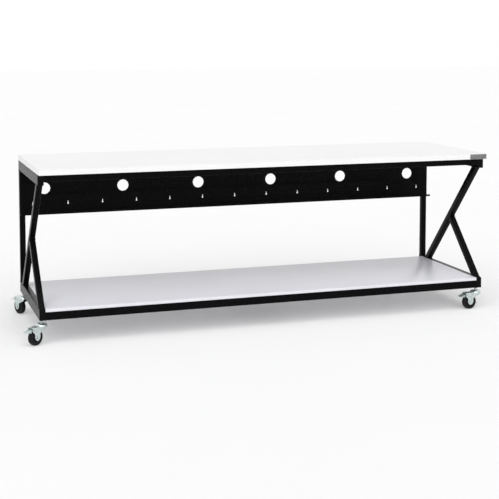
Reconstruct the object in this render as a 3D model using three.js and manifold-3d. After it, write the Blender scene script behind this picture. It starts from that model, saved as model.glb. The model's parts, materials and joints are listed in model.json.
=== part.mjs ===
// Mobile assembly table: worktop, two K-shaped end frames, shelf, cable panel and four swivel casters.
// Millimetres, +X along the table to the right, +Y to the back, +Z up, floor at Z = 0.
import * as THREE from 'three';
import { mergeVertices } from 'three/addons/utils/BufferGeometryUtils.js';
import Module from 'manifold-3d';

const wasm = await Module();
wasm.setup();

// Worktop
const TOP_LENGTH = 2438;
const TOP_DEPTH = 762;
const TOP_THICK = 28;
const TOP_CORNER_R = 5;
const PLATE_LENGTH = 98;
const PLATE_HEIGHT = 26;
const PLATE_THICK = 1.5;
const PLATE_INSET = 1;

// Steel frame
const FRAME_LENGTH = 2438;
const FRAME_DEPTH = 706;
const FRONT_OVERHANG = 44;
const FRAME_HEIGHT = 721;
const TUBE = 30;
const TUBE_WALL = 1.6;
const END_TOP_RAIL_H = 54;
const END_FOOT_RAIL_H = 57;
const LONG_TOP_RAIL_H = 36;
const LONG_FOOT_RAIL_H = 41;
const CAP_THICK = 3;

// Braces: centre lines in the end plane, with the width each shows along Y
const BRACE_WIDTH_Y = 44;
const DIAGONAL_TOP_Y = -284;
const DIAGONAL_FOOT_Y = 276;
const STRUT_FOOT_Y = -299;
const STRUT_SLOPE = 1.003;
const BORE_PAST_END = 0.5;

// Shelf
const SHELF_THICK = 16;
const SHELF_GAP = 0.5;
const SHELF_DEPTH = 667;

// Cable panel
const PANEL_THICK = 2;
const PANEL_DROP = 294;
const PANEL_LIP = 45;
const PANEL_GAP = 0.5;
const HOLE_R = 32;
const HOLE_COUNT = 6;
const HOLE_PITCH = 434;
const HOLE_DROP = 156;
const KEY_COUNT = 13;
const KEY_PITCH = 191.4;
const KEY_DROP = 243;
const KEY_R = 4.25;
const KEY_SLOT_HALF = 1.75;
const KEY_SLOT_RISE = 13;

// Casters, drawn with the trail along local +X and the swivel axis on local Z
const CASTER_HEIGHT = 122;
const STEM_X = FRAME_LENGTH / 2 - TUBE / 2;
const STEM_INSET = 38;
const STEM_R = 6;
const STEM_HEAD_R = 9.5;
const STEM_HEAD_H = 4;
const STEM_NUT_R = 10;
const STEM_NUT_H = 7;
const FORK_TOP_Z = 93;
const FORK_PLATE = 3;
const FORK_HALF_INNER = 16;
const FORK_CHEEK = 2.5;
const CROWN_RIM_R = 29;
const CROWN_RIM_H = 5;
const CROWN_TOP_R = 17;
const CROWN_TOP_H = 6;
const RUN_GAP = 0.1;
const SEAT_GAP = 0.3;
const TRAIL = 42;
const WHEEL_R = 40;
const TYRE_INNER_R = 27;
const TYRE_HALF_W = 13;
const TYRE_ROUND = 3;
const HUB_HALF_W = 14;
const HUB_BOSS_R = 10;
const HUB_WEB_HALF_W = 9;
const AXLE_R = 4;
const AXLE_HEAD_R = 7.5;
const AXLE_HEAD_H = 5;
const PIVOT_X = 64;
const PIVOT_Z = 82;
const PIVOT_R = 3;
const PIVOT_HEAD_R = 5;
const PIVOT_HEAD_H = 2;
const BARREL_R = 5.5;
const PEDAL_HALF_W = 14;
const TREAD_HALF_W = 18;
const ROUND_SEGMENTS = 48;
const HEX_SEGMENTS = 6;
const CUT_OVER = 1;
const CORNER_SEGMENTS = 6;
const WELD_DISTANCE = 1e-4;

// Fork cheek, in millimetres ahead of the stem and above the floor
const CHEEK_REAR = -22;
const CHEEK_SHOULDER_Z = 82;
const LEG_REAR = 25;
const LEG_FRONT = 60;
const LEG_KNEE_Z = 60;
const EAR_FRONT = 73;
const EAR_LOW_Z = 73;
const TOE_HALF = 10;
const TOE_Z = 28;
const TOE_LOW_Z = 24;

// Brake pedal outlines, each corner ahead of the stem and above the floor
const PEDAL_NECK = [[64, 87.5], [80, 83.2], [79, 80.3], [64, 84.5]];
const PEDAL_TREAD = [[77, 84.3], [104, 73.5], [103, 70.7], [76.5, 81.3]];
const BRAKE_SHOE = [[66, 84], [78, 80.5], [77, 66.5], [70, 72]];

// Middle of the rest pose's box behind the worktop's middle, because one caster points back
const BOX_MIDDLE_Y = 25.2;

// Caster headings in the rest pose, degrees from +X, by corner
const CASTERS = [
  { corner: 'front_left', sideX: -1, sideY: -1, heading: 215 },
  { corner: 'front_right', sideX: 1, sideY: -1, heading: 186 },
  { corner: 'rear_left', sideX: -1, sideY: 1, heading: 115 },
  { corner: 'rear_right', sideX: 1, sideY: 1, heading: 35 },
];

// Derived levels and faces
const Z_BASE = CASTER_HEIGHT;
const Z_TOP = Z_BASE + FRAME_HEIGHT;
const Z_SHELF = Z_BASE + LONG_FOOT_RAIL_H;
const Z_POST_LOW = Z_BASE + END_FOOT_RAIL_H;
const Z_POST_HIGH = Z_TOP - END_TOP_RAIL_H;
const X_OUT = FRAME_LENGTH / 2;
const X_IN = X_OUT - TUBE;
const Y_FRONT = -TOP_DEPTH / 2 + FRONT_OVERHANG;
const Y_REAR = Y_FRONT + FRAME_DEPTH;
const Y_POST = Y_REAR - TUBE;
const Y_SHELF_REAR = Y_FRONT + SHELF_DEPTH;

// Finishes
const WHITE_LAMINATE = { color: 0xf2f2f0, metalness: 0, roughness: 0.35 };
const GREY_LAMINATE = { color: 0xd9d9de, metalness: 0, roughness: 0.35 };
const BLACK_COAT = { color: 0x161618, metalness: 0.3, roughness: 0.45 };
const PLATE_METAL = { color: 0x8c8c90, metalness: 0.6, roughness: 0.45 };
const ZINC = { color: 0xc3cfcd, metalness: 0.9, roughness: 0.35 };
const BLACK_RUBBER = { color: 0x1b1b1b, metalness: 0, roughness: 0.8 };
const CAP_PLASTIC = { color: 0x202022, metalness: 0, roughness: 0.6 };
const HUB_PLASTIC = { color: 0x202022, metalness: 0, roughness: 0.5 };

const table = new THREE.Group();
table.name = 'assembly_table';

function addMesh(group, name, geometry, finish) {
  const mesh = new THREE.Mesh(geometry, new THREE.MeshStandardMaterial(finish));
  mesh.name = name;
  group.add(mesh);
}

function toSolid(geometry) {
  const bare = geometry.clone();
  bare.deleteAttribute('normal');
  bare.deleteAttribute('uv');
  const welded = mergeVertices(bare, WELD_DISTANCE);
  const vertProperties = new Float32Array(welded.attributes.position.array);
  const triVerts = new Uint32Array(welded.index.array);
  return new wasm.Manifold(new wasm.Mesh({ numProp: 3, vertProperties, triVerts }));
}

function toGeometry(solid) {
  const mesh = solid.getMesh();
  const geometry = new THREE.BufferGeometry();
  geometry.setAttribute('position', new THREE.BufferAttribute(new Float32Array(mesh.vertProperties), 3));
  geometry.setIndex(new THREE.BufferAttribute(new Uint32Array(mesh.triVerts), 1));
  geometry.computeVertexNormals();
  return geometry;
}

function join(geometries) {
  return toGeometry(geometries.map(toSolid).reduce((all, next) => all.add(next)));
}

function cut(geometry, tools) {
  return toGeometry(tools.map(toSolid).reduce((rest, tool) => rest.subtract(tool), toSolid(geometry)));
}

function outline(points) {
  return new THREE.Shape(points.map(([u, v]) => new THREE.Vector2(u, v)));
}

function rectangle(u0, v0, u1, v1) {
  return outline([[u0, v0], [u1, v0], [u1, v1], [u0, v1]]);
}

function hollow(u0, v0, u1, v1) {
  const shape = rectangle(u0, v0, u1, v1);
  shape.holes.push(rectangle(u0 + TUBE_WALL, v0 + TUBE_WALL, u1 - TUBE_WALL, v1 - TUBE_WALL));
  return shape;
}

function extrude(shape, depth) {
  return new THREE.ExtrudeGeometry(shape, { depth, bevelEnabled: false, curveSegments: CORNER_SEGMENTS });
}

// A profile drawn in Y and Z, drawn out along X
function alongX(shape, x0, x1) {
  const turn = new THREE.Matrix4().makeBasis(
    new THREE.Vector3(0, 1, 0),
    new THREE.Vector3(0, 0, 1),
    new THREE.Vector3(1, 0, 0),
  );
  return extrude(shape, x1 - x0).applyMatrix4(turn).translate(x0, 0, 0);
}

// A profile drawn in X and Z, drawn out along Y
function alongY(shape, y0, y1) {
  const turn = new THREE.Matrix4().makeBasis(
    new THREE.Vector3(1, 0, 0),
    new THREE.Vector3(0, 0, 1),
    new THREE.Vector3(0, -1, 0),
  );
  return extrude(shape, y1 - y0).applyMatrix4(turn).translate(0, y1, 0);
}

// A profile drawn in X and Y, drawn out along Z
function alongZ(shape, z0, z1) {
  return extrude(shape, z1 - z0).translate(0, 0, z0);
}

function roundZ(radiusLow, radiusHigh, z0, z1, segments) {
  const body = new THREE.CylinderGeometry(radiusHigh, radiusLow, z1 - z0, segments);
  return body.rotateX(Math.PI / 2).translate(0, 0, (z0 + z1) / 2);
}

function roundY(radius, x, z, y0, y1, segments) {
  const body = new THREE.CylinderGeometry(radius, radius, y1 - y0, segments);
  return body.translate(x, (y0 + y1) / 2, z);
}

function addWorktop() {
  const half = TOP_LENGTH / 2;
  const deep = TOP_DEPTH / 2;
  const r = TOP_CORNER_R;
  const shape = new THREE.Shape();
  shape.moveTo(half, -deep + r);
  shape.lineTo(half, deep - r);
  shape.absarc(half - r, deep - r, r, 0, Math.PI / 2, false);
  shape.lineTo(-half + r, deep);
  shape.absarc(-half + r, deep - r, r, Math.PI / 2, Math.PI, false);
  shape.lineTo(-half, -deep + r);
  shape.absarc(-half + r, -deep + r, r, Math.PI, 1.5 * Math.PI, false);
  shape.lineTo(half - r, -deep);
  shape.absarc(half - r, -deep + r, r, 1.5 * Math.PI, 2 * Math.PI, false);
  addMesh(table, 'worktop', alongZ(shape, Z_TOP, Z_TOP + TOP_THICK), WHITE_LAMINATE);
  const plateEnd = half - r - PLATE_INSET;
  const plateLow = Z_TOP + (TOP_THICK - PLATE_HEIGHT) / 2;
  const plate = rectangle(plateEnd - PLATE_LENGTH, plateLow, plateEnd, plateLow + PLATE_HEIGHT);
  addMesh(table, 'nameplate', alongY(plate, -deep - PLATE_THICK, -deep), PLATE_METAL);
}

// One brace of the end frame: a tube between two heights, hollow right through
function braceGeometry(lower, upper, x0, x1) {
  const outer = alongX(outline([lower[0], lower[1], upper[1], upper[0]]), x0, x1);
  const lean = (lower[0][0] - lower[1][0]) / BRACE_WIDTH_Y;
  const wallY = TUBE_WALL * BRACE_WIDTH_Y / TUBE;
  const reach = (from, to, side) => {
    const dy = (from[0] - to[0]) * BORE_PAST_END;
    const dz = (from[1] - to[1]) * BORE_PAST_END;
    return [from[0] + dy + side * lean * wallY, from[1] + dz];
  };
  const inner = outline([
    reach(lower[0], upper[0], -1),
    reach(lower[1], upper[1], 1),
    reach(upper[1], lower[1], 1),
    reach(upper[0], lower[0], -1),
  ]);
  return cut(outer, [alongX(inner, x0 + TUBE_WALL, x1 - TUBE_WALL)]);
}

function addEndFrame(side, sign) {
  const x0 = sign > 0 ? X_IN : -X_OUT;
  const x1 = sign > 0 ? X_OUT : -X_IN;
  const half = BRACE_WIDTH_Y / 2;
  const steel = (name, geometry) => addMesh(table, name + '_' + side, geometry, BLACK_COAT);
  const railFront = Y_FRONT + CAP_THICK;
  const railRear = Y_REAR - CAP_THICK;
  steel('end_top_rail', alongY(hollow(x0, Z_POST_HIGH, x1, Z_TOP), railFront, railRear));
  steel('end_foot_rail', alongY(hollow(x0, Z_BASE, x1, Z_POST_LOW), railFront, railRear));
  steel('rear_post', alongZ(hollow(x0, Y_POST, x1, Y_REAR), Z_POST_LOW, Z_POST_HIGH));
  const slope = (DIAGONAL_TOP_Y - DIAGONAL_FOOT_Y) / (Z_POST_HIGH - Z_POST_LOW);
  const diagonalFoot = [[DIAGONAL_FOOT_Y - half, Z_POST_LOW], [DIAGONAL_FOOT_Y + half, Z_POST_LOW]];
  const diagonalTop = [[DIAGONAL_TOP_Y - half, Z_POST_HIGH], [DIAGONAL_TOP_Y + half, Z_POST_HIGH]];
  steel('diagonal', braceGeometry(diagonalFoot, diagonalTop, x0, x1));
  const meet = (y) => {
    const rise = (DIAGONAL_FOOT_Y - half - y) / (STRUT_SLOPE - slope);
    return [y + STRUT_SLOPE * rise, Z_POST_LOW + rise];
  };
  const strutFoot = [[STRUT_FOOT_Y - half, Z_POST_LOW], [STRUT_FOOT_Y + half, Z_POST_LOW]];
  const strutTop = strutFoot.map(([y]) => meet(y));
  steel('strut', braceGeometry(strutFoot, strutTop, x0, x1));
  const cap = (name, z0, z1, y0) => {
    const geometry = alongY(rectangle(x0, z0, x1, z1), y0, y0 + CAP_THICK);
    addMesh(table, name + '_' + side, geometry, CAP_PLASTIC);
  };
  cap('cap_top_front', Z_POST_HIGH, Z_TOP, Y_FRONT);
  cap('cap_top_rear', Z_POST_HIGH, Z_TOP, railRear);
  cap('cap_foot_front', Z_BASE, Z_POST_LOW, Y_FRONT);
  cap('cap_foot_rear', Z_BASE, Z_POST_LOW, railRear);
}

function addLongRails() {
  const steel = (name, geometry) => addMesh(table, name, geometry, BLACK_COAT);
  const topLow = Z_TOP - LONG_TOP_RAIL_H;
  const yBehindFront = Y_FRONT + TUBE;
  steel('front_top_rail', alongX(hollow(Y_FRONT, topLow, yBehindFront, Z_TOP), -X_IN, X_IN));
  steel('rear_top_rail', alongX(hollow(Y_POST, topLow, Y_REAR, Z_TOP), -X_IN, X_IN));
  steel('front_foot_rail', alongX(hollow(Y_FRONT, Z_BASE, yBehindFront, Z_SHELF), -X_IN, X_IN));
  const yFootInner = Y_SHELF_REAR - TUBE;
  steel('rear_foot_rail', alongX(hollow(yFootInner, Z_BASE, Y_SHELF_REAR, Z_SHELF), -X_IN, X_IN));
  const half = TUBE / 2;
  const yBeforePanel = Y_POST - PANEL_THICK;
  steel('top_cross_bar', alongY(hollow(-half, topLow, half, Z_TOP), yBehindFront, yBeforePanel));
  steel('shelf_cross_bar', alongY(hollow(-half, Z_BASE, half, Z_SHELF), yBehindFront, yFootInner));
  const shelfEnd = X_IN - SHELF_GAP;
  const shelf = rectangle(-shelfEnd, Y_FRONT, shelfEnd, Y_SHELF_REAR);
  addMesh(table, 'shelf_board', alongZ(shelf, Z_SHELF, Z_SHELF + SHELF_THICK), GREY_LAMINATE);
}

function keyhole(x, z) {
  const path = new THREE.Path();
  const meet = Math.acos(KEY_SLOT_HALF / KEY_R);
  path.absarc(x, z, KEY_R, Math.PI - meet, 2 * Math.PI + meet, false);
  path.lineTo(x + KEY_SLOT_HALF, z + KEY_SLOT_RISE);
  path.absarc(x, z + KEY_SLOT_RISE, KEY_SLOT_HALF, 0, Math.PI, false);
  path.closePath();
  return path;
}

function addCablePanel() {
  const low = Z_TOP - PANEL_DROP;
  const notchX = X_IN - PANEL_GAP;
  const notchZ = Z_POST_HIGH - PANEL_GAP;
  const sheet = outline([
    [-X_OUT, low],
    [X_OUT, low],
    [X_OUT, notchZ],
    [notchX, notchZ],
    [notchX, Z_TOP],
    [-notchX, Z_TOP],
    [-notchX, notchZ],
    [-X_OUT, notchZ],
  ]);
  for (let i = 0; i < HOLE_COUNT; i += 1) {
    const hole = new THREE.Path();
    hole.absarc((i - (HOLE_COUNT - 1) / 2) * HOLE_PITCH, Z_TOP - HOLE_DROP, HOLE_R, 0, 2 * Math.PI, false);
    sheet.holes.push(hole);
  }
  for (let i = 0; i < KEY_COUNT; i += 1) {
    sheet.holes.push(keyhole((i - (KEY_COUNT - 1) / 2) * KEY_PITCH, Z_TOP - KEY_DROP));
  }
  const lipFront = Y_POST - PANEL_THICK - PANEL_LIP;
  const lip = alongX(rectangle(lipFront, low, Y_POST, low + PANEL_THICK), -X_OUT, X_OUT);
  const panel = join([alongY(sheet, Y_POST - PANEL_THICK, Y_POST), lip]);
  addMesh(table, 'cable_panel', panel, BLACK_COAT);
}

function stemGeometry() {
  const headTop = FORK_TOP_Z - FORK_PLATE - SEAT_GAP;
  return join([
    roundZ(STEM_R, STEM_R, headTop - STEM_HEAD_H, CASTER_HEIGHT, ROUND_SEGMENTS),
    roundZ(STEM_HEAD_R, STEM_HEAD_R, headTop - STEM_HEAD_H, headTop, ROUND_SEGMENTS),
    roundZ(STEM_NUT_R, STEM_NUT_R, CASTER_HEIGHT - STEM_NUT_H, CASTER_HEIGHT, HEX_SEGMENTS),
  ]);
}

function forkGeometry() {
  const outer = FORK_HALF_INNER + FORK_CHEEK;
  const plateLow = FORK_TOP_Z - FORK_PLATE;
  const rimTop = plateLow + CROWN_RIM_H;
  const cheek = outline([
    [CHEEK_REAR, FORK_TOP_Z],
    [EAR_FRONT, FORK_TOP_Z],
    [EAR_FRONT, EAR_LOW_Z],
    [LEG_FRONT, LEG_KNEE_Z],
    [LEG_FRONT, WHEEL_R],
    [TRAIL + TOE_HALF, TOE_Z],
    [TRAIL, TOE_LOW_Z],
    [TRAIL - TOE_HALF, TOE_Z],
    [LEG_REAR, WHEEL_R],
    [LEG_REAR, LEG_KNEE_Z],
    [CHEEK_REAR, CHEEK_SHOULDER_Z],
  ]);
  const body = join([
    alongY(cheek, -outer, -FORK_HALF_INNER),
    alongY(cheek, FORK_HALF_INNER, outer),
    alongY(rectangle(CHEEK_REAR, plateLow, EAR_FRONT, FORK_TOP_Z), -outer, outer),
    roundZ(CROWN_RIM_R, CROWN_RIM_R, plateLow, rimTop, ROUND_SEGMENTS),
    roundZ(CROWN_RIM_R, CROWN_TOP_R, rimTop, rimTop + CROWN_TOP_H, ROUND_SEGMENTS),
  ]);
  const reach = outer + CUT_OVER;
  return cut(body, [
    roundZ(STEM_R + RUN_GAP, STEM_R + RUN_GAP, 0, CASTER_HEIGHT, ROUND_SEGMENTS),
    roundY(AXLE_R + SEAT_GAP, TRAIL, WHEEL_R, -reach, reach, ROUND_SEGMENTS),
    roundY(PIVOT_R + SEAT_GAP, PIVOT_X, PIVOT_Z, -reach, reach, ROUND_SEGMENTS),
  ]);
}

function pinGeometry(radius, headRadius, headHeight, x, z, headSegments) {
  const seat = FORK_HALF_INNER + FORK_CHEEK + SEAT_GAP;
  return join([
    roundY(radius, x, z, -seat - headHeight, seat + headHeight, ROUND_SEGMENTS),
    roundY(headRadius, x, z, -seat - headHeight, -seat, headSegments),
    roundY(headRadius, x, z, seat, seat + headHeight, headSegments),
  ]);
}

// A ring turned about the wheel's axle from a closed profile of radius and width
function turned(profile) {
  const points = profile.map(([r, y]) => new THREE.Vector2(r, y));
  return new THREE.LatheGeometry([...points, points[0]], ROUND_SEGMENTS).translate(TRAIL, 0, WHEEL_R);
}

function addCaster({ corner, sideX, sideY, heading }) {
  const stemY = sideY < 0 ? Y_FRONT + STEM_INSET : Y_REAR - STEM_INSET;
  const place = (group) => group.position.set(sideX * STEM_X, stemY, 0);
  const fixed = new THREE.Group();
  place(fixed);
  table.add(fixed);
  addMesh(fixed, 'stem_' + corner, stemGeometry(), ZINC);
  const swivel = new THREE.Group();
  place(swivel);
  swivel.rotation.z = THREE.MathUtils.degToRad(heading);
  table.add(swivel);
  addMesh(swivel, 'fork_' + corner, forkGeometry(), ZINC);
  const axle = pinGeometry(AXLE_R, AXLE_HEAD_R, AXLE_HEAD_H, TRAIL, WHEEL_R, HEX_SEGMENTS);
  addMesh(swivel, 'axle_' + corner, axle, ZINC);
  const boreR = AXLE_R + RUN_GAP;
  const hubR = TYRE_INNER_R - SEAT_GAP;
  const hub = turned([
    [boreR, -HUB_HALF_W],
    [HUB_BOSS_R, -HUB_HALF_W],
    [HUB_BOSS_R, -HUB_WEB_HALF_W],
    [hubR, -HUB_WEB_HALF_W],
    [hubR, HUB_WEB_HALF_W],
    [HUB_BOSS_R, HUB_WEB_HALF_W],
    [HUB_BOSS_R, HUB_HALF_W],
    [boreR, HUB_HALF_W],
  ]);
  addMesh(swivel, 'hub_' + corner, hub, HUB_PLASTIC);
  const tyre = turned([
    [TYRE_INNER_R, -TYRE_HALF_W],
    [WHEEL_R - TYRE_ROUND, -TYRE_HALF_W],
    [WHEEL_R, -TYRE_HALF_W + TYRE_ROUND],
    [WHEEL_R, TYRE_HALF_W - TYRE_ROUND],
    [WHEEL_R - TYRE_ROUND, TYRE_HALF_W],
    [TYRE_INNER_R, TYRE_HALF_W],
  ]);
  addMesh(swivel, 'tyre_' + corner, tyre, BLACK_RUBBER);
  addBrake(swivel, corner);
}

function addBrake(swivel, corner) {
  const pin = pinGeometry(PIVOT_R, PIVOT_HEAD_R, PIVOT_HEAD_H, PIVOT_X, PIVOT_Z, ROUND_SEGMENTS);
  addMesh(swivel, 'brake_pin_' + corner, pin, ZINC);
  const body = join([
    alongY(outline(PEDAL_NECK), -PEDAL_HALF_W, PEDAL_HALF_W),
    alongY(outline(PEDAL_TREAD), -TREAD_HALF_W, TREAD_HALF_W),
    alongY(outline(BRAKE_SHOE), -TYRE_HALF_W + TYRE_ROUND, TYRE_HALF_W - TYRE_ROUND),
    roundY(BARREL_R, PIVOT_X, PIVOT_Z, -PEDAL_HALF_W, PEDAL_HALF_W, ROUND_SEGMENTS),
  ]);
  const reach = PEDAL_HALF_W + CUT_OVER;
  const bore = roundY(PIVOT_R + RUN_GAP, PIVOT_X, PIVOT_Z, -reach, reach, ROUND_SEGMENTS);
  addMesh(swivel, 'brake_pedal_' + corner, cut(body, [bore]), ZINC);
}

addWorktop();
addEndFrame('left', -1);
addEndFrame('right', 1);
addLongRails();
addCablePanel();
CASTERS.forEach(addCaster);

table.position.y = -BOX_MIDDLE_Y;

export default table;
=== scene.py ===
"""Looks of a mobile assembly table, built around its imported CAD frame."""

import json
import math

import bmesh
import bpy
from mathutils import Matrix, Vector


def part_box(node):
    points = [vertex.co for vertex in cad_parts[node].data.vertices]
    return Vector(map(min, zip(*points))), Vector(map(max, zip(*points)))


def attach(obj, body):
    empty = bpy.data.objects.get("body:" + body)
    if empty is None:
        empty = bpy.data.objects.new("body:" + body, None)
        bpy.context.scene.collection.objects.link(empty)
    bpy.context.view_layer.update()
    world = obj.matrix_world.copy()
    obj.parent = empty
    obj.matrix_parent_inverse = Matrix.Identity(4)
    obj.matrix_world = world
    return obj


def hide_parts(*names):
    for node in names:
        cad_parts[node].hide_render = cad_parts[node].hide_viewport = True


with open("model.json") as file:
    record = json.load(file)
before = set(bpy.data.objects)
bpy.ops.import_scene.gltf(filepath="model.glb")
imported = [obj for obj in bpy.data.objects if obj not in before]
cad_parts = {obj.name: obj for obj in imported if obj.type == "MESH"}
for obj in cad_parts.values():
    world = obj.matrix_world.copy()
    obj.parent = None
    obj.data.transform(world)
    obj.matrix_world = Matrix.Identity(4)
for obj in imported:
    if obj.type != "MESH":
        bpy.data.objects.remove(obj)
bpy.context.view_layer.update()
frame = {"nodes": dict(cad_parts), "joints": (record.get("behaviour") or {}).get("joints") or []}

# Camera at the photograph's viewing angle, in metres, degrees and pixels
IMAGE_SIZE = 499
CAMERA_PLACE = (-2.048, -6.1158, 1.5383)
CAMERA_YAW = 18.393
CAMERA_PITCH = -4.522
FOCAL_PIXELS = 1187.0
PRINCIPAL_ROW = 125.0
SENSOR_WIDTH = 36.0
FAR_CLIP = 200.0

# Soft key light from the front left: tilt and spread in degrees, and strength
KEY_TILT = (38, 0, -18)
KEY_SPREAD = 72
KEY_STRENGTH = 1.92

# Studio brightness from the horizon up: where it starts and ends to fall, and its level there
STUDIO_FALL = (0.15, 0.7)
STUDIO_LEVEL = (1.0, 0.42)

# Floor: half its side, its two tones, and the part of white that a seen floor shows
FLOOR_REACH = 40
FLOOR_TONES = ((0.955, 0.955, 0.957), (0.965, 0.965, 0.966))
FLOOR_CLOUD = (0.8, 3)
FLOOR_ROUGH = 0.9
FLOOR_WHITE = 0.18

# Parts of a noise's range that are spread over a roughness and over two tones
ROUGH_RANGE = (0.3, 0.7)
TONE_RANGE = (0.35, 0.65)

# Kinds of surface: scale and detail of the tone, the wear and the grain, and how deep the grain is
LAMINATE = {"cloud": (3.5, 5), "wear": (22, 6), "uneven": 0.018, "grain": (500, 2)}
LAMINATE |= {"strength": 0.012, "depth": 0.0001}
POWDER = {"cloud": (9, 4), "wear": (60, 4), "uneven": 0.055, "grain": (620, 3)}
POWDER |= {"strength": 0.22, "depth": 0.0003}
PLATED = {"cloud": (85, 4), "wear": (240, 3), "uneven": 0.08, "metal": 1}
PLATED |= {"strength": 0.14, "depth": 0.00015}
MOULDED = {"cloud": (40, 5), "wear": (150, 4), "uneven": 0.08, "grain": (1000, 3)}
MOULDED |= {"strength": 0.25, "depth": 0.0002}

# Edges, bands and seams, in metres
TUBE_ROUND = 0.0032
TUBE_STEPS = 4
WORKTOP_CORNER = 0.005
CORNER_STEPS = 6
BOARD_EASE = 0.0009
BAND_THICK = 0.0012
BAND_EASE = 0.0004
SEAM = 0.0002
PLATE_EASE = 0.0005
PLUG_EASE = 0.0012
SHEET_EASE = 0.0005
EDGE_STEPS = 2
FINE_STEPS = 3
ROUND_PROFILE = 0.5
SHARP_SHADING = math.radians(32)
SHARP_EDGE = math.radians(35)
FLAT_ANGLE = math.radians(0.5)
SAME_POINT = 1e-6

# Weld beads: radius, step along the seam, ripple and its turn from step to step and from bead to bead
WELD_RADIUS = 0.0021
WELD_STEP = 0.0045
WELD_SIDES = 8
WELD_RIPPLE = 0.16
RIPPLE_TURN = 2.4
BEAD_TURN = 1.7

# Cable panel's folded hem and screws, and the plate's rivets
SHEET_THICK = 0.002
HEM_HEIGHT = 0.011
HEM_EASE = 0.0006
SCREW_DROPS = (0.09, 0.165, 0.255)
SOCKET_HALF = 0.0017
SOCKET_FLOOR = 0.0008
RIVET_INSET = 0.006

# Round heads: radius of the bore, of the flat on top and of the whole head, and height
RIVET_HEAD = {"bore": 0.0004, "flat": 0.0006, "radius": 0.0026, "height": 0.001}
SCREW_HEAD = {"bore": 0.0016, "flat": 0.0024, "radius": 0.0052, "height": 0.0028}

# Half profile of a wheel's hub, as radius and height on the axle, from its outer side to its middle plane
HALF_HUB = (
    (0.0041, -0.014),
    (0.0092, -0.014),
    (0.0098, -0.0134),
    (0.0102, -0.0062),
    (0.0235, -0.005),
    (0.0242, -0.0118),
    (0.0248, -0.0124),
    (0.0264, -0.0124),
    (0.0267, -0.012),
)

# Steps of a full turn, of a small piece's full turn, and of a quarter round in a profile
TURN_STEPS = 64
SMALL_TURN_STEPS = 24
ARC_STEPS = 6

# Washer under a stem's nut: how far below the stem's top it ends and starts, its radii and its chamfer
WASHER_TOP = 0.0072
WASHER_FOOT = 0.0092
WASHER_BORE_R = 0.0062
WASHER_R = 0.0112
WASHER_CHAMFER = 0.0004

# Dome over a fork's race: its place over and under the fork's top, its wall and its rolled rim
DOME_OVER_TOP = 0.0012
DOME_UNDER_TOP = 0.001
DOME_RISE = 0.01
DOME_MOUTH_R = 0.0165
DOME_R = 0.0299
DOME_WALL = 0.0015
RIM_BULGE = 0.0004
RIM_HEIGHT = 0.002

# Tyre: gap on its hub, crown of its tread, size of its round shoulder, and its grooves
TYRE_FIT = 0.0003
TREAD_CROWN = 0.0002
SHOULDER_R = 0.0046
SHOULDER_WIDTH = 0.0052
GROOVE_PLACE = 0.0053
GROOVE_HALF_MOUTH = 0.0009
GROOVE_HALF_FLOOR = 0.0004
GROOVE_DEPTH = 0.0007

# Caster edges, ribs of a hub, and ridges across a pedal's tread, ahead of the stem and above the floor
BOLT_EASE = 0.0005
FORK_EASE = 0.0007
RIB_EASE = 0.0004
RIB_COUNT = 6
RIB_LOW = (0.0096, -0.0012, -0.0105)
RIB_HIGH = (0.0245, 0.0012, 0.0105)
RIDGE_COUNT = 4
RIDGE_LOW = (-0.0009, -0.0155, -0.0004)
RIDGE_HIGH = (0.0009, 0.0155, 0.001)
RIDGE_EASE = 0.0003
RIDGE_FIRST = 0.083
RIDGE_PITCH = 0.005
TREAD_START = (0.077, 0.0843)
TREAD_DROP = 0.0108
TREAD_REACH = 0.027
TREAD_SLOPE = math.atan2(TREAD_DROP, TREAD_REACH)

UP = Vector((0, 0, 1))
TO_FRONT = Vector((0, -1, 0))
CORNERS = ("front_left", "front_right", "rear_left", "rear_right")
LONG_RAILS = ("front_top_rail", "rear_top_rail", "front_foot_rail", "rear_foot_rail")
JOINTS = {joint["name"]: joint for joint in frame["joints"]}


# Materials


def add_node(tree, kind, **values):
    node = tree.nodes.new(kind)
    for key, value in values.items():
        if key in node.inputs:
            node.inputs[key].default_value = value
        else:
            setattr(node, key, value)
    return node


def new_material(name):
    material = bpy.data.materials.new(name)
    material.use_nodes = True
    tree = material.node_tree
    shader = tree.nodes["Principled BSDF"]
    place = add_node(tree, "ShaderNodeTexCoord").outputs["Object"]
    return material, tree, shader, place


def noise(tree, place, scale_and_detail, stretch=None):
    scale, detail = scale_and_detail
    node = add_node(tree, "ShaderNodeTexNoise", Scale=scale, Detail=detail)
    if stretch:
        mapping = add_node(tree, "ShaderNodeMapping", Scale=stretch)
        tree.links.new(place, mapping.inputs["Vector"])
        place = mapping.outputs["Vector"]
    tree.links.new(place, node.inputs["Vector"])
    return node.outputs["Fac"]


def spread(tree, source, source_range, result_range):
    """Turns a value in one range into a number in another."""
    node = add_node(tree, "ShaderNodeMapRange")
    node.inputs["From Min"].default_value = source_range[0]
    node.inputs["From Max"].default_value = source_range[1]
    node.inputs["To Min"].default_value = result_range[0]
    node.inputs["To Max"].default_value = result_range[1]
    tree.links.new(source, node.inputs["Value"])
    return node.outputs["Result"]


def two_tones(tree, source, tones):
    ramp = add_node(tree, "ShaderNodeValToRGB")
    for element, position, tone in zip(ramp.color_ramp.elements, TONE_RANGE, tones):
        element.position = position
        element.color = (*tone, 1)
    tree.links.new(source, ramp.inputs["Fac"])
    return ramp.outputs["Color"]


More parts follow.
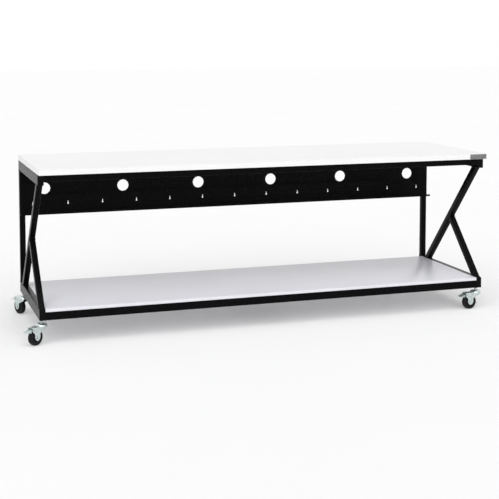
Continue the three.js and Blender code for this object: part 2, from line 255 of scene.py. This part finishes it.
def surface(name, tones, rough, gloss, cloud, wear, uneven, grain, strength, depth, metal=0, stretch=None):
    """A material whose tone drifts, whose shine is worn unevenly and whose face has a fine grain."""
    material, tree, shader, place = new_material(name)
    shader.inputs["Metallic"].default_value = metal
    shader.inputs["Specular IOR Level"].default_value = gloss
    tree.links.new(two_tones(tree, noise(tree, place, cloud), tones), shader.inputs["Base Color"])
    worn = spread(tree, noise(tree, place, wear), ROUGH_RANGE, (rough - uneven, rough + uneven))
    tree.links.new(worn, shader.inputs["Roughness"])
    bump = add_node(tree, "ShaderNodeBump", Strength=strength, Distance=depth)
    tree.links.new(noise(tree, place, grain, stretch), bump.inputs["Height"])
    tree.links.new(bump.outputs["Normal"], shader.inputs["Normal"])
    return material


TOP_FACE = surface(
    "white_laminate",
    ((0.865, 0.865, 0.862), (0.88, 0.88, 0.877)),
    rough=0.44,
    gloss=0.2,
    **LAMINATE,
)
TOP_EDGE = surface(
    "white_edge_band",
    ((0.8, 0.8, 0.797), (0.82, 0.82, 0.817)),
    rough=0.38,
    gloss=0.5,
    **LAMINATE,
)
SHELF_FACE = surface(
    "grey_laminate",
    ((0.7, 0.7, 0.745), (0.72, 0.72, 0.762)),
    rough=0.32,
    gloss=0.4,
    **LAMINATE,
)
BLACK_COAT = surface(
    "black_coat",
    ((0.0018, 0.0018, 0.0022), (0.0026, 0.0026, 0.003)),
    rough=0.28,
    gloss=0.05,
    **POWDER,
)
WELD_COAT = surface(
    "coated_weld",
    ((0.0022, 0.0022, 0.0026), (0.003, 0.003, 0.0034)),
    rough=0.38,
    gloss=0.08,
    **POWDER,
)
PLATE_METAL = surface(
    "plate_metal",
    ((0.2, 0.2, 0.205), (0.25, 0.25, 0.255)),
    rough=0.42,
    gloss=0.5,
    grain=(900, 3),
    stretch=(0.05, 1, 1),
    **PLATED,
)
ZINC = surface(
    "zinc_plate",
    ((0.5, 0.57, 0.56), (0.66, 0.73, 0.72)),
    rough=0.27,
    gloss=0.5,
    grain=(500, 3),
    stretch=(1, 1, 0.3),
    **PLATED,
)
TYRE_RUBBER = surface(
    "tyre_rubber",
    ((0.004, 0.004, 0.004), (0.008, 0.008, 0.0078)),
    rough=0.5,
    gloss=0.18,
    **MOULDED,
)
HUB_PLASTIC = surface(
    "hub_plastic",
    ((0.006, 0.006, 0.0064), (0.01, 0.01, 0.0105)),
    rough=0.42,
    gloss=0.2,
    **MOULDED,
)
CAP_PLASTIC = surface(
    "cap_plastic",
    ((0.002, 0.002, 0.0024), (0.0032, 0.0032, 0.0036)),
    rough=0.4,
    gloss=0.07,
    **MOULDED,
)


# Mesh building


def piece(name, shape, material, body, nodes=()):
    """Turns a bmesh into a named piece on a body, standing for the given CAD nodes."""
    bmesh.ops.recalc_face_normals(shape, faces=shape.faces[:])
    mesh = bpy.data.meshes.new(name)
    shape.to_mesh(mesh)
    shape.free()
    mesh.materials.append(material)
    for face in mesh.polygons:
        face.use_smooth = True
    mesh.set_sharp_from_angle(angle=SHARP_SHADING)
    thing = bpy.data.objects.new(name, mesh)
    bpy.context.scene.collection.objects.link(thing)
    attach(thing, body)
    if nodes:
        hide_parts(*nodes)


def merge_flat(shape):
    """Welds a shape's corners and makes its flat faces whole."""
    bmesh.ops.remove_doubles(shape, verts=shape.verts[:], dist=SAME_POINT)
    bmesh.ops.dissolve_limit(shape, angle_limit=FLAT_ANGLE, verts=shape.verts[:], edges=shape.edges[:])


def cad_shape(node):
    """A clean copy of a CAD node's mesh."""
    shape = bmesh.new()
    shape.from_mesh(frame["nodes"][node].data)
    merge_flat(shape)
    return shape


def hull_shape(node):
    """The outer form of a CAD tube, closed at its ends."""
    shape = bmesh.new()
    for vertex in frame["nodes"][node].data.vertices:
        shape.verts.new(vertex.co)
    bmesh.ops.remove_doubles(shape, verts=shape.verts[:], dist=SAME_POINT)
    made = bmesh.ops.convex_hull(shape, input=shape.verts[:])
    inside = made["geom_interior"] + made["geom_unused"]
    spare = {item for item in inside if isinstance(item, bmesh.types.BMVert)}
    bmesh.ops.delete(shape, geom=list(spare), context="VERTS")
    merge_flat(shape)
    return shape


def sharp_edges(shape):
    closed = [edge for edge in shape.edges if len(edge.link_faces) == 2]
    return [edge for edge in closed if edge.calc_face_angle(0) > SHARP_EDGE]


def ease(shape, edges, width, steps=EDGE_STEPS):
    bmesh.ops.bevel(
        shape,
        geom=edges,
        offset=width,
        segments=steps,
        profile=ROUND_PROFILE,
        affect="EDGES",
        clamp_overlap=True,
    )


def tube(node):
    """A rolled tube: the four long corners are round and the ends are square."""
    shape = hull_shape(node)
    half_length = max(edge.calc_length() for edge in shape.edges) / 2
    long_edges = [edge for edge in shape.edges if edge.calc_length() > half_length]
    ease(shape, long_edges, TUBE_ROUND, TUBE_STEPS)
    piece("tube_" + node, shape, BLACK_COAT, "table", [node])


def eased(node, name, material, body, width, steps=EDGE_STEPS):
    """A CAD form with its sharp edges broken."""
    shape = cad_shape(node)
    ease(shape, sharp_edges(shape), width, steps)
    piece(name, shape, material, body, [node])


def block(shape, low, high, width=0.0, place=None):
    """Adds a box with broken edges, moved to a place if one is given."""
    low, high = Vector(low), Vector(high)
    single = bmesh.new()
    bmesh.ops.create_cube(single, size=1)
    for vertex in single.verts:
        vertex.co = (low + high) / 2 + vertex.co * (high - low)
    if width:
        ease(single, single.edges[:], width)
    if place:
        bmesh.ops.transform(single, matrix=place, verts=single.verts[:])
    spare = bpy.data.meshes.new("spare")
    single.to_mesh(spare)
    single.free()
    shape.from_mesh(spare)
    bpy.data.meshes.remove(spare)


def bridge(shape, loops):
    """Adds the faces between each closed loop of corners and the next, and from the last to the first."""
    for first, second in zip(loops, loops[1:] + loops[:1]):
        for i in range(len(first)):
            shape.faces.new((first[i - 1], first[i], second[i], second[i - 1]))


def ring_wall(shape, outer, inner, z0, z1):
    """Adds a closed band between two outlines of equal count."""
    sides = ((outer, z0), (outer, z1), (inner, z1), (inner, z0))
    bridge(shape, [[shape.verts.new((x, y, z)) for x, y in line] for line, z in sides])


def prism(shape, line, z0, z1):
    low = [shape.verts.new((x, y, z0)) for x, y in line]
    high = [shape.verts.new((x, y, z1)) for x, y in line]
    shape.faces.new(low[::-1])
    shape.faces.new(high)
    for i in range(len(line)):
        shape.faces.new((low[i - 1], low[i], high[i], high[i - 1]))


def rounded_outline(low, high, inset):
    """The worktop's outline with round corners, set in by a width."""
    radius = WORKTOP_CORNER - inset
    x0, x1 = low.x + WORKTOP_CORNER, high.x - WORKTOP_CORNER
    y0, y1 = low.y + WORKTOP_CORNER, high.y - WORKTOP_CORNER
    line = []
    for quarter, (x, y) in enumerate(((x1, y1), (x0, y1), (x0, y0), (x1, y0))):
        for i in range(CORNER_STEPS + 1):
            angle = math.pi / 2 * (quarter + i / CORNER_STEPS)
            line.append((x + radius * math.cos(angle), y + radius * math.sin(angle)))
    return line


def axis_frame(place, axis):
    """The matrix that sets a form drawn about Z on an axis at a place."""
    return Matrix.Translation(place) @ UP.rotation_difference(axis).to_matrix().to_4x4()


def lathe(shape, profile, place, axis, count=TURN_STEPS):
    """Adds a closed ring turned from a profile of radius and height along an axis."""
    on_axis = axis_frame(place, axis)
    loops = []
    for i in range(count):
        angle = 2 * math.pi * i / count
        points = [Vector((r * math.cos(angle), r * math.sin(angle), height)) for r, height in profile]
        loops.append([shape.verts.new(on_axis @ point) for point in points])
    bridge(shape, loops)


def arc(middle, radii):
    """A quarter round of a profile, from straight along the axis to straight out."""
    angles = [math.pi / 2 * i / ARC_STEPS for i in range(ARC_STEPS + 1)]
    return [(middle[0] + radii[0] * math.sin(a), middle[1] + radii[1] * math.cos(a)) for a in angles]


def whole(half_profile):
    """A half profile followed by its mirror image."""
    return [*half_profile, *[(r, -height) for r, height in reversed(half_profile)]]


def round_head(bore, flat, radius, height):
    """The profile of a bolt's or rivet's head: a small flat on top and a round side."""
    return [(bore, 0), (bore, height), *arc((flat, 0), (radius - flat, height))]


def weld(shape, corners, seed):
    """Adds a rippled bead around a closed outline of corners."""
    points = []
    for start, end in zip(corners, corners[1:] + corners[:1]):
        steps = max(2, round((end - start).length / WELD_STEP))
        points += [start.lerp(end, i / steps) for i in range(steps)]
    normal = (corners[1] - corners[0]).cross(corners[2] - corners[1]).normalized()
    loops = []
    for i, point in enumerate(points):
        along = (points[(i + 1) % len(points)] - points[i - 1]).normalized()
        out = along.cross(normal)
        size = WELD_RADIUS * (1 + WELD_RIPPLE * math.sin(RIPPLE_TURN * i + seed))
        loop = []
        for k in range(WELD_SIDES):
            angle = 2 * math.pi * k / WELD_SIDES
            loop.append(shape.verts.new(point + size * (math.cos(angle) * out + math.sin(angle) * normal)))
        loops.append(loop)
    bridge(shape, loops)


# Worktop, nameplate and shelf


def make_worktop():
    low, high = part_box("worktop")
    core = bmesh.new()
    prism(core, rounded_outline(low, high, BAND_THICK + SEAM), low.z, high.z)
    ease(core, sharp_edges(core), BOARD_EASE)
    piece("worktop_board", core, TOP_FACE, "table", ["worktop"])
    band = bmesh.new()
    outer, inner = rounded_outline(low, high, 0), rounded_outline(low, high, BAND_THICK)
    ring_wall(band, outer, inner, low.z + SEAM, high.z - SEAM)
    ease(band, sharp_edges(band), BAND_EASE)
    piece("worktop_edge_band", band, TOP_EDGE, "table")


def make_nameplate():
    low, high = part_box("nameplate")
    plate = bmesh.new()
    block(plate, low, high, PLATE_EASE)
    piece("blank_plate", plate, PLATE_METAL, "table", ["nameplate"])
    rivets = bmesh.new()
    for x in (low.x + RIVET_INSET, high.x - RIVET_INSET):
        place = Vector((x, low.y, (low.z + high.z) / 2))
        lathe(rivets, round_head(**RIVET_HEAD), place, TO_FRONT, SMALL_TURN_STEPS)
    piece("plate_rivets", rivets, PLATE_METAL, "table")


def make_shelf():
    low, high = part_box("shelf_board")
    board = bmesh.new()
    block(board, (low.x, low.y + BAND_THICK + SEAM, low.z), high, BOARD_EASE)
    piece("shelf_panel", board, SHELF_FACE, "table", ["shelf_board"])
    band = bmesh.new()
    block(band, (low.x, low.y, low.z + SEAM), (high.x, low.y + BAND_THICK, high.z - SEAM), BAND_EASE)
    piece("shelf_edge_band", band, SHELF_FACE, "table")


# Steel frame


def make_frame():
    for node in (*LONG_RAILS, "top_cross_bar", "shelf_cross_bar"):
        tube(node)
    for side in ("left", "right"):
        for name in ("end_top_rail", "end_foot_rail", "rear_post", "diagonal", "strut"):
            tube(name + "_" + side)
        for end in ("top_front", "top_rear", "foot_front", "foot_rear"):
            node = "cap_" + end + "_" + side
            eased(node, "plug_" + node, CAP_PLASTIC, "table", PLUG_EASE, FINE_STEPS)
    make_welds()
    eased("cable_panel", "panel_sheet", BLACK_COAT, "table", SHEET_EASE)
    make_panel_hem()
    make_panel_screws()


def node_points(node):
    return [vertex.co for vertex in frame["nodes"][node].data.vertices]


def end_corners(node, pick):
    """The four corners of a brace or post at its lowest or highest end."""
    points = node_points(node)
    level = pick(point.z for point in points)
    near = [point for point in points if abs(point.z - level) < SAME_POINT]
    x0, x1 = min(p.x for p in near), max(p.x for p in near)
    y0, y1 = min(p.y for p in near), max(p.y for p in near)
    return [Vector((x, y, level)) for x, y in ((x0, y0), (x1, y0), (x1, y1), (x0, y1))]


def strut_head(node):
    """The slanted upper end of a strut, between its highest and its rearmost edge."""
    points = node_points(node)
    low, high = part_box(node)
    top = max(points, key=lambda point: point.z)
    back = max(points, key=lambda point: point.y)
    ends = ((low.x, top), (high.x, top), (high.x, back), (low.x, back))
    return [Vector((x, point.y, point.z)) for x, point in ends]


def make_welds():
    outlines = []
    for side in ("left", "right"):
        for name in ("rear_post_", "diagonal_"):
            outlines += [end_corners(name + side, min), end_corners(name + side, max)]
        outlines += [end_corners("strut_" + side, min), strut_head("strut_" + side)]
    for node in LONG_RAILS:
        low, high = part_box(node)
        face = ((low.y, low.z), (high.y, low.z), (high.y, high.z), (low.y, high.z))
        outlines += [[Vector((x, y, z)) for y, z in face] for x in (low.x, high.x)]
    shape = bmesh.new()
    for i, corners in enumerate(outlines):
        weld(shape, corners, BEAD_TURN * i)
    piece("weld_beads", shape, WELD_COAT, "table")


def make_panel_hem():
    """The lip's front edge, folded up to stiffen the sheet."""
    low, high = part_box("cable_panel")
    shape = bmesh.new()
    block(shape, low, (high.x, low.y + SHEET_THICK, low.z + HEM_HEIGHT), HEM_EASE)
    piece("panel_hem", shape, BLACK_COAT, "table")


def make_panel_screws():
    """Socket-head screws that hold the sheet to the rear posts."""
    panel_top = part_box("cable_panel")[1].z
    low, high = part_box("rear_post_right")
    front = low.y - SHEET_THICK
    middle = (low.x + high.x) / 2
    half = SOCKET_HALF
    shape = bmesh.new()
    for x in (-middle, middle):
        for drop in SCREW_DROPS:
            z = panel_top - drop
            lathe(shape, round_head(**SCREW_HEAD), Vector((x, front, z)), TO_FRONT, SMALL_TURN_STEPS)
            block(shape, (x - half, front - SOCKET_FLOOR, z - half), (x + half, front, z + half))
    piece("panel_screws", shape, BLACK_COAT, "table")


# Casters


def washer_profile(stem_top):
    low, high = stem_top - WASHER_FOOT, stem_top - WASHER_TOP
    flat_r = WASHER_R - WASHER_CHAMFER
    side_low, side_high = low + WASHER_CHAMFER, high - WASHER_CHAMFER
    outside = [(flat_r, low), (WASHER_R, side_low), (WASHER_R, side_high), (flat_r, high)]
    return [(WASHER_BORE_R, low), *outside, (WASHER_BORE_R, high)]


def dome_profile(fork_top):
    """A thin domed shell with a rolled rim, over the fork's conical race."""
    foot = fork_top + DOME_OVER_TOP - DOME_RISE
    outside = arc((DOME_MOUTH_R, foot), (DOME_R - DOME_MOUTH_R, DOME_RISE))
    rim = [(DOME_R + RIM_BULGE, foot - RIM_HEIGHT / 2), (DOME_R, foot - RIM_HEIGHT)]
    inner_r = DOME_R - DOME_WALL
    inside = [(inner_r, foot - RIM_HEIGHT), (inner_r, foot + DOME_WALL)]
    return [*outside, *rim, *inside, (DOME_MOUTH_R, fork_top - DOME_UNDER_TOP)]


def tyre_profile(node, middle, axle):
    """A tyre with round shoulders, a groove in each half of its tread and one in the middle."""
    offsets = [point - middle for point in node_points(node)]
    half = max(offset.dot(axle) for offset in offsets) - SEAM
    radii = [(offset - offset.dot(axle) * axle).length for offset in offsets]
    inner, outer = min(radii) + TYRE_FIT, max(radii)
    side = outer - TREAD_CROWN
    shoulder = arc((side - SHOULDER_R, SHOULDER_WIDTH - half), (SHOULDER_R, -SHOULDER_WIDTH))
    groove = [
        (side, -GROOVE_PLACE - GROOVE_HALF_MOUTH),
        (side - GROOVE_DEPTH, -GROOVE_PLACE - GROOVE_HALF_FLOOR),
        (side - GROOVE_DEPTH, -GROOVE_PLACE + GROOVE_HALF_FLOOR),
        (side, -GROOVE_PLACE + GROOVE_HALF_MOUTH),
    ]
    middle_groove = [(outer, -GROOVE_HALF_MOUTH), (outer - GROOVE_DEPTH, -GROOVE_HALF_FLOOR)]
    return whole([(inner, -half), *shoulder, *groove, *middle_groove])


def make_caster(corner):
    fork = "fork_" + corner
    x, y, _ = JOINTS["swivel_" + corner]["pos_m"]
    stem = Vector((x, y, 0))
    eased("stem_" + corner, "stem_post_" + corner, ZINC, "table", BOLT_EASE)
    washer = bmesh.new()
    lathe(washer, washer_profile(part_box("stem_" + corner)[1].z), stem, UP)
    piece("stem_washer_" + corner, washer, ZINC, "table")
    eased(fork, "fork_shell_" + corner, ZINC, fork, FORK_EASE, FINE_STEPS)
    dome = bmesh.new()
    lathe(dome, dome_profile(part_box(fork)[1].z), stem, UP)
    piece("race_dome_" + corner, dome, ZINC, fork)
    eased("axle_" + corner, "axle_bolt_" + corner, ZINC, fork, BOLT_EASE)
    eased("brake_pin_" + corner, "brake_rivet_" + corner, ZINC, fork, BOLT_EASE)
    spin = JOINTS["wheel_spin_" + corner]
    middle, axle = Vector(spin["pos_m"]), Vector(spin["axis"])
    make_wheel(corner, middle, axle)
    make_pedal(corner, stem, middle, axle)


def make_wheel(corner, middle, axle):
    body = "wheel_" + corner
    tyre = bmesh.new()
    lathe(tyre, tyre_profile("tyre_" + corner, middle, axle), middle, axle)
    piece("tyre_tread_" + corner, tyre, TYRE_RUBBER, body, ["tyre_" + corner])
    hub = bmesh.new()
    lathe(hub, whole(HALF_HUB), middle, axle)
    for i in range(RIB_COUNT):
        turn = Matrix.Rotation(2 * math.pi * i / RIB_COUNT, 4, "Z")
        block(hub, RIB_LOW, RIB_HIGH, RIB_EASE, axis_frame(middle, axle) @ turn)
    piece("hub_core_" + corner, hub, HUB_PLASTIC, body, ["hub_" + corner])


def make_pedal(corner, stem, middle, axle):
    body = "pedal_" + corner
    eased("brake_pedal_" + corner, "pedal_lever_" + corner, ZINC, body, FORK_EASE, FINE_STEPS)
    ahead = Vector((middle.x - stem.x, middle.y - stem.y, 0)).normalized()
    caster = Matrix.Translation(stem) @ Matrix((ahead, axle, UP)).transposed().to_4x4()
    tilt = Matrix.Rotation(TREAD_SLOPE, 4, "Y")
    ridges = bmesh.new()
    for i in range(RIDGE_COUNT):
        x = RIDGE_FIRST + RIDGE_PITCH * i
        z = TREAD_START[1] - (x - TREAD_START[0]) * math.tan(TREAD_SLOPE)
        block(ridges, RIDGE_LOW, RIDGE_HIGH, RIDGE_EASE, caster @ Matrix.Translation((x, 0, z)) @ tilt)
    piece("pedal_ridges_" + corner, ridges, ZINC, body)


# Floor, light and camera


def seen_rays(tree):
    """One for rays that show a surface, straight or in metal or glass, and zero for rays that light it."""
    rays = add_node(tree, "ShaderNodeLightPath")
    value = rays.outputs["Is Camera Ray"]
    for name in ("Is Glossy Ray", "Is Transmission Ray"):
        either = add_node(tree, "ShaderNodeMath", operation="MAXIMUM")
        tree.links.new(value, either.inputs[0])
        tree.links.new(rays.outputs[name], either.inputs[1])
        value = either.outputs["Value"]
    return value


def make_stage():
    """A pale floor that keeps the table's shadow and shows partly white."""
    far = FLOOR_REACH
    mesh = bpy.data.meshes.new("floor")
    mesh.from_pydata([(-far, -far, 0), (far, -far, 0), (far, far, 0), (-far, far, 0)], [], [(0, 1, 2, 3)])
    floor = bpy.data.objects.new("floor", mesh)
    bpy.context.scene.collection.objects.link(floor)
    material, tree, shader, place = new_material("pale_floor")
    shader.inputs["Roughness"].default_value = FLOOR_ROUGH
    shader.inputs["Specular IOR Level"].default_value = 0
    cloud = noise(tree, place, FLOOR_CLOUD)
    tree.links.new(two_tones(tree, cloud, FLOOR_TONES), shader.inputs["Base Color"])
    white = add_node(tree, "ShaderNodeEmission", Color=(1, 1, 1, 1))
    mix = add_node(tree, "ShaderNodeMixShader")
    tree.links.new(spread(tree, seen_rays(tree), (0, 1), (0, FLOOR_WHITE)), mix.inputs["Fac"])
    tree.links.new(shader.outputs["BSDF"], mix.inputs[1])
    tree.links.new(white.outputs["Emission"], mix.inputs[2])
    tree.links.new(mix.outputs["Shader"], tree.nodes["Material Output"].inputs["Surface"])
    mesh.materials.append(material)


def make_world():
    """White where it is seen, and a studio that is brightest at the horizon for the light it gives."""
    world = bpy.data.worlds.new("studio")
    bpy.context.scene.world = world
    world.use_nodes = True
    tree = world.node_tree
    tree.nodes.clear()
    split = add_node(tree, "ShaderNodeSeparateXYZ")
    tree.links.new(add_node(tree, "ShaderNodeTexCoord").outputs["Generated"], split.inputs["Vector"])
    studio = add_node(tree, "ShaderNodeBackground", Color=(1, 1, 1, 1))
    white = add_node(tree, "ShaderNodeBackground", Color=(1, 1, 1, 1))
    level = spread(tree, split.outputs["Z"], STUDIO_FALL, STUDIO_LEVEL)
    tree.links.new(level, studio.inputs["Strength"])
    mix = add_node(tree, "ShaderNodeMixShader")
    tree.links.new(seen_rays(tree), mix.inputs["Fac"])
    tree.links.new(studio.outputs["Background"], mix.inputs[1])
    tree.links.new(white.outputs["Background"], mix.inputs[2])
    out = add_node(tree, "ShaderNodeOutputWorld")
    tree.links.new(mix.outputs["Shader"], out.inputs["Surface"])


def make_key_light():
    lamp = bpy.data.lights.new("key_light", "SUN")
    lamp.energy = KEY_STRENGTH
    lamp.angle = math.radians(KEY_SPREAD)
    thing = bpy.data.objects.new("key_light", lamp)
    thing.rotation_euler = [math.radians(angle) for angle in KEY_TILT]
    bpy.context.scene.collection.objects.link(thing)


def make_camera():
    lens = bpy.data.cameras.new("view")
    lens.sensor_width = SENSOR_WIDTH
    lens.lens = FOCAL_PIXELS / IMAGE_SIZE * SENSOR_WIDTH
    lens.shift_y = (PRINCIPAL_ROW - IMAGE_SIZE / 2) / IMAGE_SIZE
    lens.clip_end = FAR_CLIP
    view = bpy.data.objects.new("view", lens)
    view.location = CAMERA_PLACE
    view.rotation_euler = (math.radians(90 + CAMERA_PITCH), 0, math.radians(-CAMERA_YAW))
    bpy.context.scene.collection.objects.link(view)
    bpy.context.scene.camera = view


make_camera()
make_stage()
make_world()
make_key_light()
make_worktop()
make_nameplate()
make_shelf()
make_frame()
for corner in CORNERS:
    make_caster(corner)

bpy.context.scene.view_settings.view_transform = "Standard"
